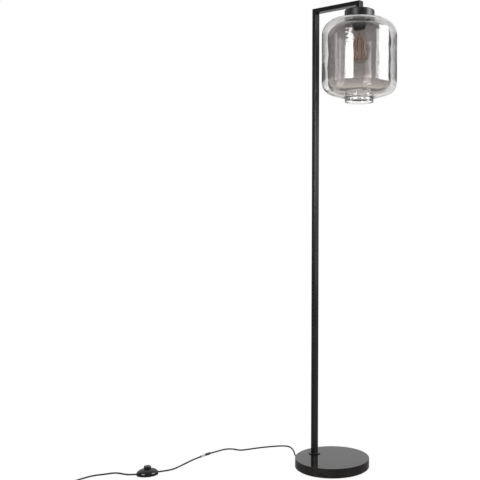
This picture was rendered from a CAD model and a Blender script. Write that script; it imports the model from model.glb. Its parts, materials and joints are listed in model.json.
# %% [markdown]
# # A floor lamp with a double glass shade
# The lamp is a heavy polished stone disc, a frame of flat black steel tube that rises at one
# side of the disc and reaches back over it, and a blown glass shade with a second, smoked glass
# inside it. This lesson dresses the engineered model: metal and stone keep their exact solids
# and get finishes, while blown glass, the bulb and the flexible cord are modelled here, because
# their small irregularities are what makes them look real.

# %% The engineered model
import math
import json

import bmesh
import bpy
from mathutils import Matrix, Vector

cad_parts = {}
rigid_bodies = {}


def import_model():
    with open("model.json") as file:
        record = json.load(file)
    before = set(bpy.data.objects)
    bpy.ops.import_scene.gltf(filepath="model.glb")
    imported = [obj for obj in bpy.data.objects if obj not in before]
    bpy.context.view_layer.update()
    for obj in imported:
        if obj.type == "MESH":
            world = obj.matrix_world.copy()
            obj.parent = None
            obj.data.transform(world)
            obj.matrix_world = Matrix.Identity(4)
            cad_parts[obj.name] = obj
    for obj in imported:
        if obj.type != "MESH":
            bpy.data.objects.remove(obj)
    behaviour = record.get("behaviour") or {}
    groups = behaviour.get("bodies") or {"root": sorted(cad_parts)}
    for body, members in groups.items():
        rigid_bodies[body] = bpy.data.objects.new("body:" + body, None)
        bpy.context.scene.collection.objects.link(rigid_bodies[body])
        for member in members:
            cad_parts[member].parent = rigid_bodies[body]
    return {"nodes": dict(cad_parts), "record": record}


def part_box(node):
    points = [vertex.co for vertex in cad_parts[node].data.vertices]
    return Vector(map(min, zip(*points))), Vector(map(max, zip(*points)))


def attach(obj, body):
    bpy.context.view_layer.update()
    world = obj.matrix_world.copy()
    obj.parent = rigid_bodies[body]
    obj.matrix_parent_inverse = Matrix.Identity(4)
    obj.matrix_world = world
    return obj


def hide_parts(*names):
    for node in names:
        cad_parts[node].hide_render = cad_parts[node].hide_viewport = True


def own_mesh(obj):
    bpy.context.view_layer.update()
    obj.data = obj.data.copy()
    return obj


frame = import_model()
nodes = frame["nodes"]
scene_objects = bpy.context.scene.collection.objects
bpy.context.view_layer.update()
mm = 0.001
print("nodes loaded:", len(nodes))


# %% [markdown]
# ## Two helpers for every finish
# Colours are written as the hex values that one reads off a paint chart, and Blender computes
# in linear light, so one function converts them. A second one adds a shader node with its
# settings and links in a single call, which keeps each finish below readable as a recipe.

# %% Colour and node helpers
def linear(hex_colour):
    """A hex colour as linear red, green, blue and alpha."""
    channels = [int(hex_colour[i:i + 2], 16) / 255 for i in (1, 3, 5)]
    return tuple(c / 12.92 if c <= 0.04045 else ((c + 0.055) / 1.055) ** 2.4 for c in channels) + (1.0,)


def add_node(tree, kind, inputs=None, **settings):
    """Add a shader node, apply its settings and fill its inputs with values or other nodes' outputs."""
    node = tree.nodes.new("ShaderNode" + kind)
    for name, value in settings.items():
        setattr(node, name, value)
    for name, value in (inputs or {}).items():
        if isinstance(value, bpy.types.NodeSocket):
            tree.links.new(value, node.inputs[name])
        else:
            node.inputs[name].default_value = value
    return node


# %% [markdown]
# ## The camera
# The photograph was taken from about a table's height, nearly level, from the front right of the
# lamp. The lamp stands right of the picture's middle without leaning, which a sideways shift of
# the lens gives. Place, lens and shift are solved from the disc's ellipse, pole, arm and shade.

# %% Camera
SENSOR_WIDTH_MM = 36.0
CAMERA_PLACE = Vector((1.4003, -2.0852, 0.8207))
CAMERA_TILT_DEGREES = 88.722
CAMERA_TURN_DEGREES = 34.372
CAMERA_ROLL_DEGREES = 0.211
CAMERA_LENS_MM = 56.177
CAMERA_SHIFT = -0.1803

camera_data = bpy.data.cameras.new("photo_camera")
camera_data.lens = CAMERA_LENS_MM
camera_data.sensor_width = SENSOR_WIDTH_MM
camera_data.shift_x = CAMERA_SHIFT
camera = bpy.data.objects.new("photo_camera", camera_data)
camera.location = CAMERA_PLACE
aim = Matrix.Rotation(math.radians(CAMERA_TURN_DEGREES), 3, "Z")
aim = aim @ Matrix.Rotation(math.radians(CAMERA_TILT_DEGREES), 3, "X")
aim = aim @ Matrix.Rotation(math.radians(CAMERA_ROLL_DEGREES), 3, "Z")
camera.rotation_euler = aim.to_euler()
scene_objects.link(camera)
bpy.context.scene.camera = camera
print("camera's distance in m:", round(CAMERA_PLACE.length, 3))


# %% [markdown]
# ## The cord
# A flexible cord is drawn best as a NURBS curve with a round bevel: its control points are
# the few places where the cord is steered, and the curve between them is as smooth as a real
# cable. The points lie on the floor, rise a little inside the sleeves and enter the foot switch.

# %% Cord route
CORD_RADIUS = 2.6 * mm
GROMMET_HEIGHT = 6.0
ON_FLOOR = 2.7
IN_SLEEVE = 4.45
IN_COIL = 3.9
SWITCH_PLACE = Vector((-445.2, -415.1, 0.0)) * mm

route_to_switch = [
    (-126.5, 0, GROMMET_HEIGHT), (-145, 0, GROMMET_HEIGHT), (-170, 18, ON_FLOOR), (-200, 53, ON_FLOOR),
    (-241, 88, ON_FLOOR), (-270, 88, ON_FLOOR), (-309, 46, ON_FLOOR), (-341, -4, ON_FLOOR),
    (-364, -51, ON_FLOOR), (-401, -50, ON_FLOOR), (-422, -72, ON_FLOOR), (-426, -112, ON_FLOOR),
    (-429, -150, IN_SLEEVE), (-427, -192, IN_SLEEVE), (-423, -240, IN_SLEEVE), (-417, -289, ON_FLOOR),
    (-410, -337, ON_FLOOR), (-418.9, -376.1, GROMMET_HEIGHT), (-432.34, -396.03, GROMMET_HEIGHT)]
route_to_coil = [
    (-458.06, -434.17, GROMMET_HEIGHT), (-471.5, -454.1, GROMMET_HEIGHT), (-499, -459, ON_FLOOR),
    (-540, -464, ON_FLOOR), (-558, -499, ON_FLOOR), (-577, -524, ON_FLOOR), (-583, -570, ON_FLOOR),
    (-579.8, -616, IN_COIL), (-579.8, -652.2, IN_COIL)]
route_to_plug = [
    (-538.1, -693.9, 9.75), (-522.1, -693.9, 9.75), (-498.1, -695.9, 6.95), (-480.1, -695.9, 6.95)]


# %% [markdown]
# The length that the photograph does not show is wound into a flat coil: turns run inwards on
# the floor, climb one layer in half a turn and run out again on top. A loop works the turns
# out from a radius and a pitch, so that they lie side by side and never cut each other.

# %% Coil turns
COIL_CENTRE = (-543.3, -657.4)
COIL_RADIUS = 36.5
COIL_PITCH = 5.85
TURNS_IN_LAYER = 2.375
CLIMB_TURNS = 0.5
CLIMB_DIP = 1.3
POINTS_PER_TURN = 24
COIL_TURNS = 2 * TURNS_IN_LAYER + CLIMB_TURNS


def coil_place(turns):
    """A point of the coil's middle line in millimetres, after some turns from its outer start."""
    if turns < TURNS_IN_LAYER:
        radius, rise = COIL_RADIUS - COIL_PITCH * turns, 0.0
    elif turns > TURNS_IN_LAYER + CLIMB_TURNS:
        radius, rise = COIL_RADIUS - COIL_PITCH * (COIL_TURNS - turns), COIL_PITCH
    else:
        climbed = (turns - TURNS_IN_LAYER) / CLIMB_TURNS
        radius = COIL_RADIUS - COIL_PITCH * TURNS_IN_LAYER - CLIMB_DIP * math.sin(math.pi * climbed) ** 2
        rise = COIL_PITCH * (1 - math.cos(math.pi * climbed)) / 2
    angle = math.pi + 2 * math.pi * turns
    x = COIL_CENTRE[0] + radius * math.cos(angle)
    return (x, COIL_CENTRE[1] + radius * math.sin(angle), IN_COIL + rise)


coil_points = [coil_place(k / POINTS_PER_TURN) for k in range(round(COIL_TURNS * POINTS_PER_TURN) + 1)]


def cord_curve(name, route):
    """A round cord on a smooth NURBS line whose control points are the route, in millimetres."""
    data = bpy.data.curves.new(name, "CURVE")
    data.dimensions = "3D"
    data.bevel_depth = CORD_RADIUS
    data.bevel_resolution = 4
    data.use_fill_caps = True
    data.resolution_u = 10
    spline = data.splines.new("NURBS")
    spline.points.add(len(route) - 1)
    for point, place in zip(spline.points, route):
        point.co = (*(Vector(place) * mm), 1.0)
    spline.order_u = 3
    spline.use_endpoint_u = True
    cord = bpy.data.objects.new(name, data)
    scene_objects.link(cord)
    return cord


cord_near = cord_curve("cord_near", route_to_switch)
cord_far = cord_curve("cord_far", route_to_coil + coil_points + route_to_plug)
print("coil points:", len(coil_points))


# %% [markdown]
# ## Modelling helpers
# A turned piece starts as one vertex: a plane is added and merged, the vertex is extruded along
# the outline, and Spin carries the outline round the axis. Corners of an outline are given with
# a rounding radius, and a function turns each into a true arc, as a lathe operator would.

# %% Rounded outlines
def rounded(corners, step_degrees=7.0):
    """Points of an outline whose corners (radius, height, rounding) are arcs where rounding is set."""
    points = []
    for k, (r, z, rounding) in enumerate(corners):
        corner = Vector((r, z))
        if rounding == 0 or k in (0, len(corners) - 1):
            points.append(corner)
            continue
        back = (Vector(corners[k - 1][:2]) - corner).normalized()
        on = (Vector(corners[k + 1][:2]) - corner).normalized()
        half_turn = (math.pi - back.angle(on)) / 2
        centre = corner + (back + on).normalized() * (rounding / math.cos(half_turn))
        start = corner + back * rounding * math.tan(half_turn) - centre
        sense = 1 if back.x * on.y - back.y * on.x < 0 else -1
        count = max(2, math.ceil(math.degrees(2 * half_turn) / step_degrees))
        for i in range(count + 1):
            a = sense * 2 * half_turn * i / count
            turned = Vector((start.x * math.cos(a) - start.y * math.sin(a),
                             start.x * math.sin(a) + start.y * math.cos(a)))
            points.append(centre + turned)
    return points


def inset(corners, wall):
    """The corners of a line that runs inside another at a wall's distance, on its right hand."""
    normals = []
    for (r0, z0, _), (r1, z1, _) in zip(corners, corners[1:]):
        along = Vector((r1 - r0, z1 - z0)).normalized()
        normals.append(Vector((along.y, -along.x)))
    inner = []
    for k, (r, z, rounding) in enumerate(corners):
        before, after = normals[max(k - 1, 0)], normals[min(k, len(normals) - 1)]
        both = before + after
        shift = both * (wall / (1 + before.dot(after)))
        tighter = rounding - wall if rounding > wall else rounding
        inner.append((r + shift.x, z + shift.y, tighter))
    return inner


# %% Lathe and mesh helpers
def select_only(piece):
    """Leave one object selected and active."""
    bpy.ops.object.select_all(action="DESELECT")
    piece.select_set(True)
    bpy.context.view_layer.objects.active = piece


def finish_mesh(piece, name, smooth_degrees=40.0):
    """Name a piece, close its doubles, turn its faces outwards, smooth it and put its place in its mesh."""
    piece.name = piece.data.name = name
    select_only(piece)
    bpy.ops.object.transform_apply(location=True, rotation=True, scale=True)
    bpy.ops.object.mode_set(mode="EDIT")
    bpy.ops.mesh.select_all(action="SELECT")
    bpy.ops.mesh.remove_doubles(threshold=0.00001)
    bpy.ops.mesh.normals_make_consistent(inside=False)
    bpy.ops.object.mode_set(mode="OBJECT")
    bpy.ops.object.shade_smooth_by_angle(angle=math.radians(smooth_degrees))
    return piece


def lathe(name, outline, axis, steps, closed=True):
    """Turn an outline of (radius, height) in millimetres round an upright axis through (x, y)."""
    bpy.ops.object.select_all(action="DESELECT")
    radius, height = outline[0]
    bpy.ops.mesh.primitive_plane_add(size=mm, location=(axis[0] + radius * mm, axis[1], height * mm))
    piece = bpy.context.object
    bpy.ops.object.transform_apply(location=True)
    bpy.ops.object.mode_set(mode="EDIT")
    bpy.ops.mesh.select_all(action="SELECT")
    bpy.ops.mesh.merge(type="CENTER")
    path = list(outline) + ([outline[0]] if closed else [])
    for (r0, z0), (r1, z1) in zip(path, path[1:]):
        move = (r1 - r0, 0, z1 - z0)
        bpy.ops.mesh.extrude_region_move(TRANSFORM_OT_translate={"value": tuple(v * mm for v in move)})
    bpy.ops.mesh.select_all(action="SELECT")
    bpy.ops.mesh.spin(steps=steps, angle=2 * math.pi, center=(axis[0], axis[1], 0), axis=(0, 0, 1))
    bpy.ops.object.mode_set(mode="OBJECT")
    return finish_mesh(piece, name)


# %% [markdown]
# ## Blown glass
# Mouth-blown glass is never an exact surface of revolution. Each wall is turned from its
# outline, and a Displace modifier with a slow cloud texture then moves the surface along its
# normals by a few tenths of a millimetre. Both sides of the wall move apart and together, so the
# wall becomes a row of weak lenses, which bend the light into the soft streaks of real glass.

# %% Sizes of the shade
SHADE_LOW, SHADE_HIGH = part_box("outer_glass")
INNER_LOW, INNER_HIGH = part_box("inner_glass")
AXIS_X = (SHADE_LOW.x + SHADE_HIGH.x) / 2
SHADE_LINE = (AXIS_X, 0.0)
OUTER_RADIUS = (SHADE_HIGH.x - SHADE_LOW.x) / 2 / mm
INNER_RADIUS = (INNER_HIGH.x - INNER_LOW.x) / 2 / mm
SEAT_TOP = SHADE_HIGH.z / mm
COLLAR_BOTTOM = SHADE_LOW.z / mm
NECK_TOP = INNER_HIGH.z / mm
RIM_BOTTOM = INNER_LOW.z / mm
HOLE_RADIUS = 21.2
SEAT_RADIUS, SEAT_HEIGHT = 49.0, 4.5
OUTER_WALL, INNER_WALL = 4.0, 3.0
COLLAR_RADIUS, COLLAR_WALL, COLLAR_INSIDE = 46.7, 4.7, 17.3
THROAT_RADIUS = COLLAR_RADIUS - COLLAR_WALL
LIP_HEIGHT, LIP_FLARE = 2.5, 1.8
SEAT_FOOT_DROP, SEAT_FLARE = 4.8, 1.0
OUTER_TOP_FALL, OUTER_BOWL_RISE = math.tan(math.radians(4.7)), math.tan(math.radians(17.0))
INNER_TOP_FALL, INNER_BOWL_RISE = math.tan(math.radians(4.0)), math.tan(math.radians(5.32))
OUTLINE_STEP = 6.0
SHADE_STEPS = 180
print("shade radii in mm:", round(OUTER_RADIUS, 1), round(INNER_RADIUS, 1))


# %% Waves in the glass
SEAT_MARGIN, SEAT_RUN = 4.0, 30.0
COLLAR_MARGIN, COLLAR_RUN = 3.0, 20.0
NECK_REACH, RIM_REACH = 20.0, 12.0


def dense(points, longest):
    """Add points on straight stretches that are longer than a limit, so that waves can form there."""
    out = [points[0]]
    for a, b in zip(points, points[1:]):
        count = max(1, math.ceil((b - a).length / longest))
        out += [a + (b - a) * (k / count) for k in range(1, count + 1)]
    return out


def eased(r, start, run):
    """Nothing up to a radius, and everything from some run beyond it."""
    return min(max((r - start) / run, 0.0), 1.0)


def wavy(piece, depth_mm, size_mm, seed, free_share):
    """Move a glass surface by a slow cloud texture, as far as each place is free to move."""
    group = piece.vertex_groups.new(name="free_glass")
    for vertex in piece.data.vertices:
        r = math.hypot(vertex.co.x - AXIS_X, vertex.co.y) / mm
        group.add([vertex.index], free_share(r, vertex.co.z / mm), "REPLACE")
    texture = bpy.data.textures.new(piece.name + "_waves", "CLOUDS")
    texture.noise_scale = size_mm * mm
    texture.noise_depth = 1
    offset = bpy.data.objects.new(piece.name + "_wave_origin", None)
    scene_objects.link(offset)
    offset.location = (seed, seed * 0.7, 0)
    waves = piece.modifiers.new("waves", "DISPLACE")
    waves.texture = texture
    waves.texture_coords = "OBJECT"
    waves.texture_coords_object = offset
    waves.strength = 2 * depth_mm * mm
    waves.mid_level = 0.5
    waves.vertex_group = group.name
    select_only(piece)
    bpy.ops.object.modifier_apply(modifier=waves.name)
    bpy.data.objects.remove(offset)


# %% [markdown]
# The outer glass has a thin raised seat for the cap, a nearly flat top, a generous shoulder, an
# upright wall and a shallow bowl that ends in a thick collar. The collar stands up inside the
# bowl and carries the rim of the smoked glass.

# %% Outer glass
OUTER_SHOULDER_ROUND, OUTER_BOWL_ROUND = 48.0, 38.0
SEAT_EDGE_ROUND, SEAT_FOOT_ROUND, UNDER_SEAT_ROUND = 1.6, 1.2, 1.5
COLLAR_TOP_ROUND, COLLAR_RIM_ROUND = 2.6, 0.5
LIP_BEND_ROUND, LIP_EDGE_ROUND = 2.0, 0.9


def outer_glass_outline():
    """The wall in section: seat, top, shoulder and bowl outside, the collar, and back inside."""
    bowl_end = RIM_BOTTOM - COLLAR_INSIDE
    seat_foot = SEAT_TOP - SEAT_FOOT_DROP
    shoulder_z = seat_foot - (OUTER_RADIUS - SEAT_RADIUS) * OUTER_TOP_FALL
    bowl_z = bowl_end + (OUTER_RADIUS - COLLAR_RADIUS) * OUTER_BOWL_RISE
    shell = [(SEAT_RADIUS, seat_foot, 0), (OUTER_RADIUS, shoulder_z, OUTER_SHOULDER_ROUND),
             (OUTER_RADIUS, bowl_z, OUTER_BOWL_ROUND), (COLLAR_RADIUS, bowl_end, 0)]
    inner = list(reversed(inset(shell, OUTER_WALL)))
    under_bowl = inner[0][1] + (COLLAR_RADIUS - inner[0][0]) * OUTER_BOWL_RISE
    under_seat = inner[-1][1] - (SEAT_RADIUS - inner[-1][0]) * OUTER_TOP_FALL
    seat_under = SEAT_TOP - SEAT_HEIGHT
    lip_top = COLLAR_BOTTOM + LIP_HEIGHT
    corners = [(HOLE_RADIUS, SEAT_TOP, 0), (SEAT_RADIUS, SEAT_TOP, SEAT_EDGE_ROUND),
               (SEAT_RADIUS + SEAT_FLARE, seat_foot, SEAT_FOOT_ROUND)]
    corners += shell[1:3]
    corners += [(COLLAR_RADIUS, bowl_end, COLLAR_TOP_ROUND), (COLLAR_RADIUS, lip_top, LIP_BEND_ROUND),
                (COLLAR_RADIUS + LIP_FLARE, COLLAR_BOTTOM, LIP_EDGE_ROUND),
                (THROAT_RADIUS + LIP_FLARE, COLLAR_BOTTOM, LIP_EDGE_ROUND),
                (THROAT_RADIUS, lip_top, LIP_BEND_ROUND), (THROAT_RADIUS, RIM_BOTTOM, COLLAR_RIM_ROUND),
                (COLLAR_RADIUS, RIM_BOTTOM, COLLAR_RIM_ROUND), (COLLAR_RADIUS, under_bowl, COLLAR_TOP_ROUND)]
    corners += inner[1:3]
    corners += [(SEAT_RADIUS, under_seat, UNDER_SEAT_ROUND),
                (SEAT_RADIUS - SEAT_HEIGHT, seat_under, UNDER_SEAT_ROUND), (HOLE_RADIUS, seat_under, 0)]
    return rounded(corners)


def outer_free_share(r, z):
    """Nothing moves at the seat and round the collar, and all of it moves on the open walls."""
    beyond_seat = eased(r, SEAT_RADIUS + SEAT_MARGIN, SEAT_RUN)
    if z > RIM_BOTTOM + COLLAR_RUN:
        return beyond_seat
    return min(beyond_seat, eased(r, COLLAR_RADIUS + COLLAR_MARGIN, COLLAR_RUN))


outer_glass = lathe("outer_glass_blown", dense(outer_glass_outline(), OUTLINE_STEP), SHADE_LINE, SHADE_STEPS)
wavy(outer_glass, depth_mm=0.35, size_mm=45.0, seed=3.1, free_share=outer_free_share)
print("outer glass faces:", len(outer_glass.data.polygons))


# %% [markdown]
# The smoked glass is the same form a size smaller, with a short neck that is clamped with the
# outer glass by the holder's ring. Its colour is strong on the wall and fades out in the bowl.

# %% Inner glass
NECK_RADIUS, NECK_FOOT, NECK_DROP = 34.0, 44.0, 13.6
INNER_SHOULDER_ROUND, INNER_BOWL_ROUND = 40.0, 36.0
NECK_TOP_ROUND, NECK_FOOT_ROUND = 3.0, 8.0
RIM_EDGE_ROUND, RIM_INSIDE_ROUND = 0.6, 1.0


def inner_glass_outline():
    """The wall in section: neck, shoulder, bowl and rim outside, and back inside."""
    foot_z = NECK_TOP - NECK_DROP
    shoulder_z = foot_z - (INNER_RADIUS - NECK_FOOT) * INNER_TOP_FALL
    bowl_z = RIM_BOTTOM + (INNER_RADIUS - COLLAR_RADIUS) * INNER_BOWL_RISE
    shell = [(NECK_FOOT, foot_z, NECK_FOOT_ROUND), (INNER_RADIUS, shoulder_z, INNER_SHOULDER_ROUND),
             (INNER_RADIUS, bowl_z, INNER_BOWL_ROUND), (COLLAR_RADIUS, RIM_BOTTOM, 0)]
    inner = list(reversed(inset(shell, INNER_WALL)))
    rim_z = inner[0][1] - (inner[0][0] - THROAT_RADIUS) * INNER_BOWL_RISE
    under_neck = NECK_TOP - INNER_WALL
    corners = [(HOLE_RADIUS, NECK_TOP, 0), (NECK_RADIUS, NECK_TOP, NECK_TOP_ROUND)] + shell[:3]
    corners += [(COLLAR_RADIUS, RIM_BOTTOM, RIM_EDGE_ROUND), (THROAT_RADIUS, RIM_BOTTOM, RIM_EDGE_ROUND),
                (THROAT_RADIUS, rim_z, RIM_INSIDE_ROUND)]
    corners += inner[1:3]
    corners += [(NECK_FOOT - INNER_WALL, inner[-1][1] + INNER_WALL * INNER_TOP_FALL,
                 NECK_FOOT_ROUND - INNER_WALL),
                (NECK_RADIUS - INNER_WALL, under_neck, NECK_TOP_ROUND / 2), (HOLE_RADIUS, under_neck, 0)]
    return rounded(corners)


def inner_free_share(r, z):
    """Nothing moves at the neck and the rim."""
    if z > NECK_TOP - NECK_REACH:
        return eased(r, NECK_FOOT + SEAT_MARGIN, SEAT_RUN)
    if z < RIM_BOTTOM + RIM_REACH:
        return eased(r, COLLAR_RADIUS + COLLAR_MARGIN, COLLAR_RUN)
    return 1.0


inner_glass = lathe("inner_glass_blown", dense(inner_glass_outline(), OUTLINE_STEP), SHADE_LINE, SHADE_STEPS)
wavy(inner_glass, depth_mm=0.4, size_mm=38.0, seed=7.7, free_share=inner_free_share)
print("inner glass faces:", len(inner_glass.data.polygons))


# %% [markdown]
# ## The bulb
# The bulb is the long pear-shaped filament kind. Its glass is thin, so only the outside is
# turned, and Solidify gives it an even wall.

# %% Bulb glass
BULB_LOW, BULB_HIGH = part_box("bulb_glass")
BULB_RADIUS = (BULB_HIGH.x - BULB_LOW.x) / 2 / mm
BULB_TIP, BULB_TOP = BULB_LOW.z / mm, BULB_HIGH.z / mm
BULB_WALL = 0.8
BULB_STEPS = 72


def bulb_outline():
    """A narrow neck, a long flank that flares slowly, and a round end."""
    neck, shoulder, shoulder_drop = 13.4, 16.6, 8.0
    middle = BULB_TIP + BULB_RADIUS
    down, out = BULB_TOP - shoulder_drop - middle, shoulder
    touch = math.atan2(down, out) - math.acos(BULB_RADIUS / math.hypot(out, down))
    flank_end = (BULB_RADIUS * math.cos(touch), middle + BULB_RADIUS * math.sin(touch), 0)
    points = rounded([(neck, BULB_TOP, 0), (neck + 0.3, BULB_TOP - 3.0, 6.0),
                      (shoulder, BULB_TOP - shoulder_drop, 18.0), flank_end])
    end_steps = 26
    for k in range(1, end_steps + 1):
        angle = touch + (-math.pi / 2 - touch) * k / end_steps
        radius = max(BULB_RADIUS * math.cos(angle), 0.0)
        points.append(Vector((radius, middle + BULB_RADIUS * math.sin(angle))))
    return points


bulb_glass = lathe("bulb_glass_blown", bulb_outline(), SHADE_LINE, BULB_STEPS, closed=False)
wall = bulb_glass.modifiers.new("wall", "SOLIDIFY")
wall.thickness = BULB_WALL * mm
wall.offset = -1.0
select_only(bulb_glass)
bpy.ops.object.modifier_apply(modifier=wall.name)
print("bulb glass faces:", len(bulb_glass.data.polygons))


# %% [markdown]
# ## The foot switch button
# The button is a smooth moulded cap with a softly crowned top. Under the cover it has a flange
# that keeps it in, and it is hollow for its spring. All of that is one outline, so it is turned
# like the glass, with both ends of the outline on the axis.

# %% Moulded button
BUTTON_LOW, BUTTON_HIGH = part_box("switch_button")
BUTTON_RADIUS, BUTTON_WALL, BUTTON_ROOF = 11.5, 2.5, 3.0
BUTTON_FLANGE_TOP, BUTTON_FLANGE_HEIGHT = 17.7, 2.0
CROWN_FLAT, CROWN_FALL = 6.5, 0.8
BUTTON_STEPS = 72


def button_outline():
    """A crowned top, an upright side, the hidden flange and the hollow inside."""
    bottom, top = BUTTON_LOW.z / mm, BUTTON_HIGH.z / mm
    flange = (BUTTON_HIGH.x - BUTTON_LOW.x) / 2 / mm
    flange_bottom = BUTTON_FLANGE_TOP - BUTTON_FLANGE_HEIGHT
    inside = BUTTON_RADIUS - BUTTON_WALL
    return rounded([(0.0, top, 0), (CROWN_FLAT, top, 10.0), (BUTTON_RADIUS, top - CROWN_FALL, 2.4),
                    (BUTTON_RADIUS, BUTTON_FLANGE_TOP, 0), (flange, BUTTON_FLANGE_TOP, 0.3),
                    (flange, flange_bottom, 0.3), (BUTTON_RADIUS, flange_bottom, 0),
                    (BUTTON_RADIUS, bottom, 0), (inside, bottom, 0), (inside, top - BUTTON_ROOF, 1.0),
                    (0.0, top - BUTTON_ROOF, 0)])


button = lathe("switch_button_moulded", button_outline(), SWITCH_PLACE.xy, BUTTON_STEPS, closed=False)
print("button faces:", len(button.data.polygons))


# %% [markdown]
# The spring under the button gives way as the button goes down. It is the engineered spring's
# own mesh in a piece of its own, which flattens towards its seat by the button's travel.

# %% Button spring
spring = bpy.data.objects.new("button_spring_wound", nodes["button_spring"].data.copy())
scene_objects.link(spring)
print("spring faces:", len(spring.data.polygons))


# %% [markdown]
# ## Sleeves and tie on the cord
# The two short sleeves are tubes that follow the cord's own line. The line is read from a copy
# of the cord's curve with no bevel. One helper takes a stretch of it at even steps, and another
# says how far along it a place is.

# %% Along the cord's line
def line_of(cord):
    """Points along a cord's smooth line, read from its curve without its bevel."""
    plain = cord.data.copy()
    plain.bevel_depth = 0.0
    holder = bpy.data.objects.new("plain_line", plain)
    scene_objects.link(holder)
    depsgraph = bpy.context.evaluated_depsgraph_get()
    mesh = bpy.data.meshes.new_from_object(holder.evaluated_get(depsgraph))
    points = [vertex.co.copy() for vertex in mesh.vertices]
    bpy.data.objects.remove(holder)
    bpy.data.meshes.remove(mesh)
    return points


def stretch(points, low, high, step):
    """Points at even steps along a line, from one distance along it to another."""
    out, gone, target = [], 0.0, low
    for a, b in zip(points, points[1:]):
        run = (b - a).length
        while run > 0 and target <= high + 1e-9 and gone + run >= target:
            out.append(a + (b - a) * ((target - gone) / run))
            target += step
        gone += run
    return out


def distance_of(points, place):
    """How far along a line its nearest point to a place is."""
    best, gone, at = None, 0.0, 0.0
    for a, b in zip(points, points[1:]):
        share = min(max((place - a).dot(b - a) / (b - a).length_squared, 0.0), 1.0)
        gap = (a + (b - a) * share - place).length
        if best is None or gap < best:
            best, at = gap, gone + (b - a).length * share
        gone += (b - a).length
    return at


near_line = line_of(cord_near)
near_length = sum((b - a).length for a, b in zip(near_line, near_line[1:]))
print("near cord length in mm:", round(near_length / mm, 1))


# %% [markdown]
# A short tube that bends with the cord is built ring by ring: at each point of the stretch the
# ring stands square to the line, the rings outside and inside are joined into one closed wall,
# and the outer edge of each mouth is chamfered.

# %% A tube along a line
SLEEVE_SIDES = 28


def tube_along(name, points, inner, wall):
    """A tube with chamfered mouths along a short line."""
    mesh = bmesh.new()
    places = []
    count = len(points)
    for k, point in enumerate(points):
        ahead = (points[min(k + 1, count - 1)] - points[max(k - 1, 0)]).normalized()
        aside = ahead.cross(Vector((0, 0, 1))).normalized()
        above = aside.cross(ahead)
        places.append((point, ahead, aside, above))

    def ring(at, radius, shift=0.0):
        """A ring of vertices round one place of the line, or a little ahead of it."""
        point, ahead, aside, above = at
        return [mesh.verts.new(point + ahead * shift + (aside * math.cos(a) + above * math.sin(a)) * radius)
                for a in (2 * math.pi * i / SLEEVE_SIDES for i in range(SLEEVE_SIDES))]

    edge = 0.35 * wall
    outside = [ring(places[0], inner + wall - edge), ring(places[0], inner + wall, edge)]
    outside += [ring(at, inner + wall) for at in places[1:-1]]
    outside += [ring(places[-1], inner + wall, -edge), ring(places[-1], inner + wall - edge)]
    rings = outside + [ring(at, inner) for at in reversed(places)]
    for a, b in zip(rings, rings[1:] + rings[:1]):
        for i in range(SLEEVE_SIDES):
            j = (i + 1) % SLEEVE_SIDES
            mesh.faces.new((a[i], a[j], b[j], b[i]))
    data = bpy.data.meshes.new(name)
    mesh.to_mesh(data)
    mesh.free()
    piece = bpy.data.objects.new(name, data)
    scene_objects.link(piece)
    return finish_mesh(piece, name, 50.0)


# %% [markdown]
# Each sleeve sits where the engineered one is: the nearest point of the cord's line to the middle
# of that solid gives its distance along the cord.

# %% Sleeves
SLEEVE_GAP = 0.45
DARK_SLEEVE_LENGTH, DARK_SLEEVE_WALL = 25.0, 1.2
PALE_SLEEVE_LENGTH, PALE_SLEEVE_WALL = 22.5, 0.9


def sleeve(node, name, length, wall):
    """A sleeve where the engineered one is, on the cord's own line."""
    low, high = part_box(node)
    centre = distance_of(near_line, (low + high) / 2)
    half = length / 2 * mm
    points = stretch(near_line, centre - half, centre + half, length / 16 * mm)
    return tube_along(name, points, CORD_RADIUS + SLEEVE_GAP * mm, wall * mm)


dark_sleeve = sleeve("cord_dark_sleeve", "sleeve_dark", DARK_SLEEVE_LENGTH, DARK_SLEEVE_WALL)
pale_sleeve = sleeve("cord_pale_sleeve", "sleeve_pale", PALE_SLEEVE_LENGTH, PALE_SLEEVE_WALL)
print("sleeve faces:", len(dark_sleeve.data.polygons), len(pale_sleeve.data.polygons))


# %% [markdown]
# The tie is a soft band round all the turns of the coil. A box of the size of its inside loses
# its two ends and gets round long edges, and Solidify and Bevel make a thick, soft band of it.

# %% Coil tie
TIE_DEGREES = 225.0
TIE_WIDTH = 7.0
TIE_NEAR, TIE_FAR = 20.97, 38.87
TIE_BOTTOM, TIE_TOP = 1.1, 12.55
TIE_WALL = 0.9
TIE_ROUNDING = 2.4
TIE_EDGE = 0.25


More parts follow.
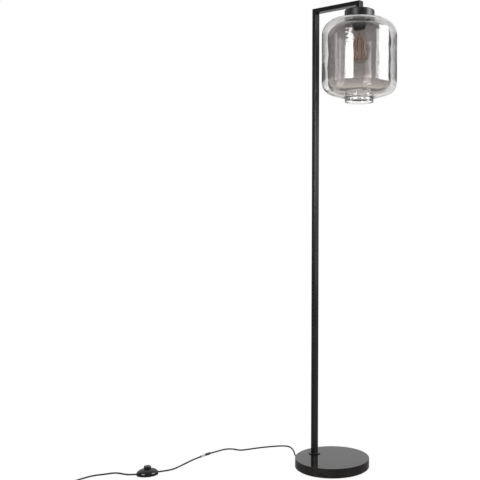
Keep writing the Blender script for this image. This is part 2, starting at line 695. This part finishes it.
def coil_tie():
    """A band round the turns, from a distance near the coil's middle to one beyond its outer turn."""
    bpy.ops.object.select_all(action="DESELECT")
    bpy.ops.mesh.primitive_cube_add(size=1.0, location=(0, 0, 0))
    piece = bpy.context.object
    piece.scale = ((TIE_FAR - TIE_NEAR) * mm, TIE_WIDTH * mm, (TIE_TOP - TIE_BOTTOM) * mm)
    bpy.ops.object.transform_apply(scale=True)
    bpy.ops.object.mode_set(mode="EDIT")
    bpy.ops.mesh.select_all(action="DESELECT")
    mesh = bmesh.from_edit_mesh(piece.data)
    for face in mesh.faces:
        face.select = abs(face.normal.y) > 0.9
    bmesh.update_edit_mesh(piece.data)
    bpy.ops.mesh.delete(type="ONLY_FACE")
    mesh = bmesh.from_edit_mesh(piece.data)
    for edge in mesh.edges:
        along = edge.verts[0].co - edge.verts[1].co
        edge.select = abs(along.y) > 0.9 * TIE_WIDTH * mm
    bmesh.update_edit_mesh(piece.data)
    bpy.ops.mesh.bevel(offset=TIE_ROUNDING * mm, segments=6, affect="EDGES")
    bpy.ops.object.mode_set(mode="OBJECT")
    band = piece.modifiers.new("band", "SOLIDIFY")
    band.thickness = TIE_WALL * mm
    band.offset = 1.0
    bpy.ops.object.modifier_apply(modifier=band.name)
    edge = piece.modifiers.new("edge", "BEVEL")
    edge.width = TIE_EDGE * mm
    edge.segments = 2
    edge.limit_method = "ANGLE"
    bpy.ops.object.modifier_apply(modifier=edge.name)
    turned_by = math.radians(TIE_DEGREES)
    out = (TIE_NEAR + TIE_FAR) / 2
    piece.rotation_euler = (0, 0, turned_by)
    piece.location = ((COIL_CENTRE[0] + out * math.cos(turned_by)) * mm,
                      (COIL_CENTRE[1] + out * math.sin(turned_by)) * mm, (TIE_BOTTOM + TIE_TOP) / 2 * mm)
    return finish_mesh(piece, "coil_band", 40.0)


tie = coil_tie()
print("tie faces:", len(tie.data.polygons))


# %% [markdown]
# ## Finishes
# Most of the lamp's surfaces differ in the same four ways: two near shades that drift into each
# other, how glossy they are, how fine their grain is and how deep it is. One recipe takes those
# numbers, in millimetres where they are sizes. Stone and glass get recipes of their own.

# %% A recipe for plain finishes
def new_material(name):
    """A material, its node tree and its main shader."""
    material = bpy.data.materials.new(name)
    material.use_nodes = True
    return material, material.node_tree, material.node_tree.nodes["Principled BSDF"]


def finish(name, dark, light, patch_mm, rough, grain_mm, grain_depth_mm, metallic=0.0):
    """A surface whose colour and gloss drift between two values, with a fine grain in its relief."""
    material, tree, shader = new_material(name)
    place = add_node(tree, "TexCoord").outputs["Object"]
    patches = add_node(tree, "TexNoise",
                       {"Vector": place, "Scale": 1 / (patch_mm * mm), "Detail": 5.0, "Roughness": 0.6})
    drift = add_node(tree, "MapRange",
                     {"Value": patches.outputs[0], "From Min": 0.35, "From Max": 0.65})
    shade = add_node(tree, "Mix", {0: drift.outputs[0], 6: linear(dark), 7: linear(light)},
                     data_type="RGBA")
    gloss = add_node(tree, "MapRange",
                     {"Value": drift.outputs[0], "To Min": rough[0], "To Max": rough[1]})
    grain = add_node(tree, "TexNoise",
                     {"Vector": place, "Scale": 1 / (grain_mm * mm), "Detail": 2.0})
    relief = add_node(tree, "Bump",
                      {"Height": grain.outputs[0], "Strength": 1.0, "Distance": grain_depth_mm * mm})
    tree.links.new(shade.outputs[2], shader.inputs["Base Color"])
    tree.links.new(gloss.outputs[0], shader.inputs["Roughness"])
    tree.links.new(relief.outputs[0], shader.inputs["Normal"])
    shader.inputs["Metallic"].default_value = metallic
    return material


# %% [markdown]
# The frame is steel tube under powder coat, the cap is spun sheet under a smoother stove enamel,
# and the cord and its switch are plastic. Nearly all of that is black, so that only the width
# and the sharpness of the highlights tell one finish from the next. The comments say what each
# gives the eye. The numbers after the two colours are the size of the patches, the range of
# roughness, the size of the grain and its depth.

# %% Paint, plastic and rubber
PLAIN = {
    # Powder melts into a skin with a slight orange peel, which softens the edges of reflections.
    "black_powder_coat": ("satin_black_powder_coat", "#1a1a1b", "#1e1e1f", 60, (0.15, 0.19), 0.7, 0.004),
    # Stove enamel on spun sheet is smooth but not polished: wide, dim highlights.
    "black_cap_enamel": ("satin_black_stove_enamel", "#151516", "#1a1a1b", 40, (0.33, 0.38), 1.2, 0.004),
    # Thermoset plastic from a blasted mould: a dry black, almost without highlights.
    "holder_plastic": ("matte_black_thermoset", "#161616", "#1c1c1c", 12, (0.5, 0.62), 0.5, 0.015),
    # Plastic from a polished mould sinks a little as it cools: clear highlights that wobble.
    "switch_plastic": ("gloss_black_moulded_plastic", "#101011", "#161617", 25, (0.18, 0.25), 4.0, 0.012),
    # The button's plastic is as glossy but evener: one small highlight on the crown.
    "button_plastic": ("black_moulded_button_plastic", "#121214", "#18181a", 10, (0.18, 0.24), 1.0, 0.005),
    # The plug comes from a spark-eroded mould: a grey sheen rather than a highlight.
    "plug_plastic": ("black_moulded_plug_plastic", "#141414", "#1c1c1c", 15, (0.42, 0.55), 0.6, 0.02),
    # The cord's sheath is extruded: deep black with a blurred thin line of light along it.
    "cord_sheath": ("black_cord_sheath", "#0a0a0a", "#101010", 20, (0.42, 0.52), 1.5, 0.015),
    # A duller sleeve interrupts the cord's line of light.
    "dark_sleeve": ("black_sleeve", "#101010", "#191919", 8, (0.45, 0.6), 0.8, 0.02),
    # The pale sleeve is the one light mark on the cord.
    "pale_sleeve": ("pale_grey_sleeve", "#c4c4c1", "#dadad7", 6, (0.45, 0.6), 0.8, 0.02),
    # A soft band shows almost no highlight beside the glossier cord.
    "tie_plastic": ("soft_black_band", "#151515", "#1f1f1f", 8, (0.55, 0.7), 0.5, 0.03),
    # Moulded rubber is a deep matt black.
    "black_rubber": ("moulded_black_rubber", "#111111", "#191919", 10, (0.6, 0.75), 0.6, 0.03),
    # Felt scatters light between its fibres, so the pad looks like a shadow under the stone.
    "base_felt": ("black_felt", "#0f0f0f", "#1d1d1d", 3, (0.9, 1.0), 0.4, 0.25),
    # The soft washers between the glasses are milky, with a blurred shine.
    "clear_silicone": ("translucent_silicone", "#bdbdb9", "#cfcfcb", 10, (0.35, 0.5), 0.8, 0.01),
    # Porcelain is a warm white with soft highlights.
    "white_ceramic": ("white_porcelain", "#dcd8cc", "#ece8dd", 8, (0.3, 0.5), 0.6, 0.02),
    # The cores of the cable are insulated in a brown plastic with a soft shine.
    "wire_sheath": ("brown_wire_sheath", "#6b3f22", "#7a4a29", 6, (0.35, 0.5), 0.5, 0.01),
    # The bulb's insulator is black glass with sharp highlights.
    "black_glass": ("black_glass_insulator", "#0c0c12", "#15151c", 5, (0.05, 0.1), 1.0, 0.004),
    # A coat of phosphor makes the filament rods an even amber without highlights.
    "filament": ("amber_filament_rod", "#e0984a", "#f2b765", 3, (0.35, 0.5), 0.35, 0.03),
}
finishes = {slot: finish(*recipe) for slot, recipe in PLAIN.items()}
print("painted, plastic and rubber finishes:", len(finishes))


# %% [markdown]
# A metal has no colour of its own beside its reflection's, so the same recipe with metallic at
# one takes the colour as the tint of what it mirrors: grey for zinc, warmer for nickel on brass.

# %% Metal
METALS = {
    # Zinc plate has fine crystals: a grey metal with a slightly broken shine.
    "zinc_steel": ("zinc_plated_steel", "#a5a7a8", "#c3c4c3", 5, (0.28, 0.42), 0.4, 0.01),
    # Nickel on brass is warmer and brighter, with clearer reflections.
    "nickel_brass": ("nickel_plated_brass", "#b7ae9c", "#cdc5b4", 6, (0.16, 0.28), 0.5, 0.006),
    # The bulb's cap is thin pressed sheet: bright, with small dents.
    "bulb_cap_metal": ("pressed_nickel_sheet", "#b9b5aa", "#cfccc3", 5, (0.2, 0.32), 0.6, 0.01),
    # The filaments hang in fine wires that heat has dulled: warm grey threads.
    "support_wire": ("dark_nickel_wire", "#a89e92", "#bcb2a5", 2, (0.3, 0.42), 0.2, 0.004),
    # Drawn spring wire shows a bright, cold line on each turn.
    "spring_steel": ("bright_spring_wire", "#a8a8a6", "#c0c0be", 3, (0.2, 0.3), 0.2, 0.004),
}
finishes.update({slot: finish(*recipe, metallic=1.0) for slot, recipe in METALS.items()})
print("with metals:", len(finishes))


# %% [markdown]
# The disc is polished black marble. At a low angle its surface is almost a mirror, so the colour
# hardly shows there: it is the reflection that the eye reads. Close up there are faint brown
# clouds a few centimetres across and a few hair-thin paler veins. A vein runs where a folded
# noise crosses its middle value.

# %% Polished marble
MARBLE_CLOUD_MM = 45
MARBLE_FOLD_MM = 70
VEIN_HALF_WIDTH = 0.006
VEIN_STRENGTH = 0.55
STONE_IOR = 1.5


def polished_marble():
    """Brown clouds in black, paler veins and a polish that is a little duller in the clouds."""
    material, tree, shader = new_material("polished_black_marble")
    place = add_node(tree, "TexCoord").outputs["Object"]
    clouds = add_node(tree, "TexNoise",
                      {"Vector": place, "Scale": 1 / (MARBLE_CLOUD_MM * mm), "Detail": 6.0,
                       "Roughness": 0.62, "Distortion": 0.6})
    cloudy = add_node(tree, "MapRange",
                      {"Value": clouds.outputs[0], "From Min": 0.42, "From Max": 0.72})
    body = add_node(tree, "Mix",
                    {0: cloudy.outputs[0], 6: linear("#171616"), 7: linear("#2a2623")},
                    data_type="RGBA")
    folds = add_node(tree, "TexNoise",
                     {"Vector": place, "Scale": 1 / (MARBLE_FOLD_MM * mm), "Detail": 4.0, "Distortion": 1.4})
    from_middle = add_node(tree, "Math", {0: folds.outputs[0], 1: 0.5}, operation="SUBTRACT")
    apart = add_node(tree, "Math", {0: from_middle.outputs[0]}, operation="ABSOLUTE")
    vein = add_node(tree, "MapRange",
                    {"Value": apart.outputs[0], "From Min": 0.0, "From Max": VEIN_HALF_WIDTH,
                     "To Min": VEIN_STRENGTH, "To Max": 0.0})
    colour = add_node(tree, "Mix", {0: vein.outputs[0], 6: body.outputs[2], 7: linear("#5a534c")},
                      data_type="RGBA")
    gloss = add_node(tree, "MapRange", {"Value": cloudy.outputs[0], "To Min": 0.03, "To Max": 0.07})
    tree.links.new(colour.outputs[2], shader.inputs["Base Color"])
    tree.links.new(gloss.outputs[0], shader.inputs["Roughness"])
    shader.inputs["IOR"].default_value = STONE_IOR
    return material


finishes["black_marble"] = polished_marble()
print("with stone:", len(finishes))


# %% [markdown]
# Glass takes its look from what is behind it and around it. The recipe is a fully transmitting
# shader with the index of refraction of soda glass, a tint that counts once for each wall
# that the light crosses, and two ripples in its relief: slow ones from blowing and short ones
# from the mould and the torch.

# %% Blown glass
GLASS_IOR = 1.5


def glass(name, tint, slow_mm, slow_depth_mm, short_mm, short_depth_mm):
    """Clear or tinted glass with slow and short ripples."""
    material, tree, shader = new_material(name)
    place = add_node(tree, "TexCoord").outputs["Object"]
    slow = add_node(tree, "TexNoise", {"Vector": place, "Scale": 1 / (slow_mm * mm), "Detail": 1.0})
    short = add_node(tree, "TexNoise",
                     {"Vector": place, "Scale": 1 / (short_mm * mm), "Detail": 2.0})
    under = add_node(tree, "Bump", {"Height": slow.outputs[0], "Distance": slow_depth_mm * mm})
    over = add_node(tree, "Bump", {"Height": short.outputs[0], "Distance": short_depth_mm * mm,
                                             "Normal": under.outputs[0]})
    tree.links.new(over.outputs[0], shader.inputs["Normal"])
    shader.inputs["Base Color"].default_value = linear(tint)
    shader.inputs["Roughness"].default_value = 0.0
    shader.inputs["IOR"].default_value = GLASS_IOR
    shader.inputs["Transmission Weight"].default_value = 1.0
    return material


finishes["amber_bulb_glass"] = glass("amber_bulb_glass", "#fbf4ec", 40, 0.1, 9, 0.01)


# %% [markdown]
# The two big glasses change their tint from place to place. Where the eye meets an upright wall
# at a slant it looks through more glass, so the clear wall darkens towards its edges. The smoke
# of the inner glass is full on its wall and fades out downwards in the bowl. Both need the same
# two things: a share that grows with height, and a tint that follows a share.

# %% Glass that changes its tint
CLEAR_TINT, CLEAR_SLANT_TINT = "#f5f4f3", "#c8c6c8"
CLEAR_WALL_FROM, CLEAR_WALL_FULL = 1.262, 1.30
SLANT_FROM, SLANT_FULL = 0.35, 0.75
SMOKE_TINT, SMOKE_FADED_TINT = "#c2bebf", "#f8f5f0"
SMOKE_FROM, SMOKE_FULL = 1.235, 1.312


def height_share(tree, start, full, slope):
    """Nothing below one height in metres, everything above another, and a slope between them."""
    place = add_node(tree, "TexCoord").outputs["Object"]
    height = add_node(tree, "SeparateXYZ", {0: place})
    share = add_node(tree, "MapRange",
                     {"Value": height.outputs[2], "From Min": start, "From Max": full},
                     interpolation_type=slope)
    return share.outputs[0]


def tint_by(tree, share, without, with_all):
    """Let a glass's tint go from one colour to another as a share grows."""
    tint = add_node(tree, "Mix", {0: share, 6: linear(without), 7: linear(with_all)},
                    data_type="RGBA")
    tree.links.new(tint.outputs[2], tree.nodes["Principled BSDF"].inputs["Base Color"])


def clear_wall_glass():
    """Clear glass whose upright wall is darker where it turns away from the eye."""
    material = glass("clear_blown_glass", CLEAR_TINT, 60, 0.5, 18, 0.09)
    tree = material.node_tree
    upright = height_share(tree, CLEAR_WALL_FROM, CLEAR_WALL_FULL, "LINEAR")
    turn = add_node(tree, "LayerWeight", {"Blend": 0.5})
    slant = add_node(tree, "MapRange",
                     {"Value": turn.outputs["Facing"], "From Min": SLANT_FROM, "From Max": SLANT_FULL},
                     interpolation_type="SMOOTHSTEP")
    share = add_node(tree, "Math", {0: upright, 1: slant.outputs[0]}, operation="MULTIPLY")
    tint_by(tree, share.outputs[0], CLEAR_TINT, CLEAR_SLANT_TINT)
    return material


def fading_smoke_glass():
    """Smoked glass whose smoke fades out downwards."""
    material = glass("smoked_blown_glass", SMOKE_TINT, 50, 0.5, 16, 0.09)
    tree = material.node_tree
    share = height_share(tree, SMOKE_FROM, SMOKE_FULL, "SMOOTHSTEP")
    tint_by(tree, share, SMOKE_FADED_TINT, SMOKE_TINT)
    return material


finishes["clear_glass"] = clear_wall_glass()
finishes["smoke_glass"] = fading_smoke_glass()


# %% [markdown]
# Inside the bulb the light has crossed so many walls that little of it is left. The pressed
# stem is therefore drawn as a faint pale skin that lets the light straight through, and the
# phosphor on the filament rods shines a little of its own, as it does in any daylight.

# %% Inside the bulb
STEM_COVER = 0.12
FILAMENT_GLOW = 0.3

finishes["stem_glass"], _, stem_shader = new_material("pressed_stem_glass")
stem_shader.inputs["Base Color"].default_value = linear("#f0ede6")
stem_shader.inputs["Alpha"].default_value = STEM_COVER
stem_shader.inputs["Roughness"].default_value = 0.3

filament_shader = finishes["filament"].node_tree.nodes["Principled BSDF"]
filament_shader.inputs["Emission Color"].default_value = linear("#d98a3c")
filament_shader.inputs["Emission Strength"].default_value = FILAMENT_GLOW
print("all finishes:", len(finishes))


# %% [markdown]
# ## Putting it together
# The engineered nodes take the finish of their slot in the record. Every new piece rides on a
# body of the lamp and says which solids it stands for.

# %% Finishes on the engineered nodes
for subpart in frame["record"]["subparts"]:
    node = nodes[subpart["node"]]
    node.data.materials.clear()
    node.data.materials.append(finishes[subpart["material_slot"]])


# %% New pieces take their places
def stand_for(piece, body, slot, *replaced):
    """Give a piece its finish and its body, and let it stand for some of the engineered nodes."""
    piece.data.materials.clear()
    piece.data.materials.append(finishes[slot])
    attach(piece, body)
    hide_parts(*replaced)


stand_for(outer_glass, "lamp", "clear_glass", "outer_glass")
stand_for(inner_glass, "lamp", "smoke_glass", "inner_glass")
stand_for(bulb_glass, "lamp", "amber_bulb_glass", "bulb_glass")
stand_for(dark_sleeve, "lamp", "dark_sleeve", "cord_dark_sleeve")
stand_for(pale_sleeve, "lamp", "pale_sleeve", "cord_pale_sleeve")
stand_for(tie, "lamp", "tie_plastic", "coil_tie")
stand_for(cord_near, "lamp", "cord_sheath", "cord_to_switch")
stand_for(cord_far, "lamp", "cord_sheath", "cord_to_coil", "cord_coil", "cord_to_plug")
stand_for(button, "button", "button_plastic", "switch_button")
stand_for(spring, "lamp", "spring_steel", "button_spring")


# %% [markdown]
# Two things give way. The spring loses the button's travel from its height, and its foot stays
# where it is. The two cords say where they start, how long they are and what they carry.

# %% Spring and cords
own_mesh(spring)


# %% [markdown]
# ## Floor, light and world
# The lamp stands on a white floor in front of white. The camera sees both as white, straight or
# through glass, and a little of the floor's own shading is kept, so that the lamp does not
# float. Reflections are another matter: glass and gloss look real only when they mirror a
# photographer's studio, with its bright wall, its dark corners and its softboxes. In them the
# floor is grey near the lamp and lighter far behind it.

# %% Floor
FLOOR_HALF = 12.0
TO_CAMERA = (0.558, -0.830, 0.0)
FAR_PLACE, NEAR_PLACE = -3.3, -2.3
FAR_GLOW, NEAR_GLOW = 0.75, 0.24
WHITE_TO_THE_EYE = 1.045
WHITE_SHARE = 0.9


def seen_directly(tree, rays):
    """One for rays that come from the camera, straight or through glass, with no mirror between."""
    unmirrored = add_node(tree, "Math", {0: rays.outputs["Glossy Depth"], 1: 0.5},
                          operation="LESS_THAN")
    through = add_node(tree, "Math",
                       {0: rays.outputs["Is Transmission Ray"], 1: unmirrored.outputs[0]},
                       operation="MULTIPLY")
    either = add_node(tree, "Math", {0: rays.outputs["Is Camera Ray"], 1: through.outputs[0]},
                      operation="MAXIMUM")
    return either.outputs[0]


def studio_floor():
    """A plane that is white to the eye and a range of greys in reflections."""
    bpy.ops.object.select_all(action="DESELECT")
    bpy.ops.mesh.primitive_plane_add(size=2 * FLOOR_HALF, location=(0, 0, 0))
    floor = bpy.context.object
    floor.name = "studio_floor"
    material, tree, shader = new_material("white_floor")
    tree.nodes.remove(shader)
    rays = add_node(tree, "LightPath")
    place = add_node(tree, "TexCoord").outputs["Object"]
    nearness = add_node(tree, "VectorMath", {0: place, 1: TO_CAMERA}, operation="DOT_PRODUCT")
    glow = add_node(tree, "MapRange",
                    {"Value": nearness.outputs["Value"], "From Min": FAR_PLACE, "From Max": NEAR_PLACE,
                     "To Min": FAR_GLOW, "To Max": NEAR_GLOW}, interpolation_type="SMOOTHSTEP")
    paint = add_node(tree, "BsdfDiffuse", {"Color": linear("#e6e6e6")})
    mirrored = add_node(tree, "Emission", {"Strength": glow.outputs[0]})
    seen = add_node(tree, "Emission", {"Strength": WHITE_TO_THE_EYE})
    share = add_node(tree, "Math", {0: seen_directly(tree, rays), 1: WHITE_SHARE},
                     operation="MULTIPLY")
    unseen = add_node(tree, "MixShader",
                      {0: rays.outputs["Is Glossy Ray"], 1: paint.outputs[0], 2: mirrored.outputs[0]})
    surface = add_node(tree, "MixShader",
                       {0: share.outputs[0], 1: unseen.outputs[0], 2: seen.outputs[0]})
    tree.links.new(surface.outputs[0], tree.nodes["Material Output"].inputs["Surface"])
    floor.data.materials.append(material)
    print("floor in m:", [round(side, 1) for side in floor.dimensions])


studio_floor()


# %% [markdown]
# The studio is a brightness for each direction. It is written as two columns of stops, one for
# the camera's side and one for the side behind the lamp, each with the upward part of the
# direction and a brightness. The wall behind the lamp is bright below and above a dark band, the
# camera's side is dark with a paler strip near the floor, and a pale ceiling closes both.

# %% World
CAMERA_SIDE = ((-0.30, 0.24), (-0.02, 0.38), (0.05, 0.45), (0.13, 0.24), (0.20, 0.20), (0.30, 0.16),
               (0.70, 0.20), (0.90, 0.55))
LAMP_SIDE = ((-0.30, 0.50), (-0.02, 0.50), (0.03, 0.62), (0.08, 1.00), (0.12, 0.95), (0.165, 0.25),
             (0.245, 0.25), (0.268, 0.84), (0.90, 0.97))
RISE_LOW, RISE_HIGH = -0.4, 1.0
LAMP_SIDE_ENDS, CAMERA_SIDE_STARTS = -0.40, 0.25
LIGHT_ON_THE_LAMP = 0.8


def brightness_column(tree, height, stops):
    """The brightness of one side of the studio by height, as a colour ramp through its stops."""
    ramp = add_node(tree, "ValToRGB", {0: height})
    elements = ramp.color_ramp.elements
    while len(elements) < len(stops):
        elements.new(0.5)
    for element, (up, brightness) in zip(elements, stops):
        element.position = (up - RISE_LOW) / (RISE_HIGH - RISE_LOW)
        element.color = (brightness, brightness, brightness, 1.0)
    return ramp.outputs[0]


def studio_world():
    """The studio in reflections, an even light on matt surfaces, and plain white to the eye."""
    world = bpy.data.worlds.new("white_studio")
    bpy.context.scene.world = world
    world.use_nodes = True
    tree = world.node_tree
    rays = add_node(tree, "LightPath")
    heading = add_node(tree, "TexCoord").outputs["Generated"]
    rise = add_node(tree, "SeparateXYZ", {0: heading})
    height = add_node(tree, "MapRange",
                      {"Value": rise.outputs[2], "From Min": RISE_LOW, "From Max": RISE_HIGH})
    camera_side = brightness_column(tree, height.outputs[0], CAMERA_SIDE)
    lamp_side = brightness_column(tree, height.outputs[0], LAMP_SIDE)
    nearness = add_node(tree, "VectorMath", {0: heading, 1: TO_CAMERA}, operation="DOT_PRODUCT")
    side = add_node(tree, "MapRange",
                    {"Value": nearness.outputs["Value"], "From Min": LAMP_SIDE_ENDS,
                     "From Max": CAMERA_SIDE_STARTS}, interpolation_type="SMOOTHSTEP")
    room = add_node(tree, "Mix", {0: side.outputs[0], 6: lamp_side, 7: camera_side},
                    data_type="RGBA")
    unseen = add_node(tree, "Mix",
                      {0: rays.outputs["Is Glossy Ray"], 2: LIGHT_ON_THE_LAMP, 3: room.outputs[2]},
                      data_type="FLOAT")
    strength = add_node(tree, "Mix", {0: seen_directly(tree, rays), 2: unseen.outputs[0], 3: 1.0},
                        data_type="FLOAT")
    tree.links.new(strength.outputs[0], tree.nodes["Background"].inputs["Strength"])
    tree.nodes["Background"].inputs["Color"].default_value = (1, 1, 1, 1)
    print("stops of brightness:", len(CAMERA_SIDE) + len(LAMP_SIDE))


studio_world()


# %% [markdown]
# The white strips on the glass are softboxes, panels that stand upright round the lamp and that
# only mirrors see. Their bearings are given from the camera's, as seen from the shade's axis. A
# light's own shader knows of a ray only how often it was mirrored and how often it went through
# glass, which is enough to put the panel out for a look through the shade from behind. Light
# linking leaves the polished disc and the pole's foot without them.

# %% Softboxes
all_but_the_disc = bpy.data.collections.new("all_but_the_disc")
for left_out in ("marble_base", "pole_foot_disc"):
    all_but_the_disc.objects.link(nodes[left_out])
for link in all_but_the_disc.collection_objects:
    link.light_linking.link_state = "EXCLUDE"


def hide_through_glass(light):
    """Put a light out for rays that came through glass and met no mirror."""
    light.use_nodes = True
    tree = light.node_tree
    rays = add_node(tree, "LightPath")
    unmirrored = add_node(tree, "Math", {0: rays.outputs["Glossy Depth"], 1: 0.5}, operation="LESS_THAN")
    through_glass = add_node(tree, "Math", {0: rays.outputs["Transmission Depth"], 1: 0.5},
                             operation="GREATER_THAN")
    looked_at = add_node(tree, "Math", {0: through_glass.outputs[0], 1: unmirrored.outputs[0]},
                         operation="MULTIPLY")
    shown = add_node(tree, "Math", {0: 1.0, 1: looked_at.outputs[0]}, operation="SUBTRACT")
    tree.links.new(shown.outputs[0], tree.nodes["Emission"].inputs["Strength"])


def softbox(name, from_degrees, to_degrees, low, high, radiance, distance=3.0):
    """A lit panel between two bearings and two heights, at a distance from the shade's axis."""
    camera_bearing = math.atan2(CAMERA_PLACE.y, CAMERA_PLACE.x - AXIS_X)
    bearing = camera_bearing + math.radians((from_degrees + to_degrees) / 2)
    width = 2 * distance * math.tan(math.radians(abs(to_degrees - from_degrees) / 2))
    data = bpy.data.lights.new(name, "AREA")
    data.shape = "RECTANGLE"
    data.size = width
    data.size_y = high - low
    data.energy = radiance * math.pi * width * (high - low)
    hide_through_glass(data)
    panel = bpy.data.objects.new(name, data)
    panel.location = (AXIS_X + distance * math.cos(bearing), distance * math.sin(bearing), (low + high) / 2)
    panel.rotation_euler = (math.pi / 2, 0, bearing + math.pi / 2)
    panel.visible_camera = False
    panel.visible_diffuse = False
    panel.light_linking.receiver_collection = all_but_the_disc
    scene_objects.link(panel)


softbox("softbox_left", -43, -19, 0.90, 2.115, radiance=13.0)
softbox("softbox_left_top", -40, -24, 2.135, 2.16, radiance=13.0)
softbox("softbox_right", 63, 98, 1.0, 3.2, radiance=9.0)
softbox("softbox_slim", 31, 36, 1.2, 2.05, radiance=2.5)
softbox("softbox_close_left", -72, -64, 1.22, 1.54, radiance=2.0, distance=0.6)
print("softboxes:", len(bpy.data.lights))


# %% [markdown]
# The Standard view keeps the floor's white as white as it is written. The sizes of the
# engineered model and of the dressed one are written down side by side, to be compared.

# %% Last settings and sizes
bpy.context.scene.view_settings.view_transform = "Standard"
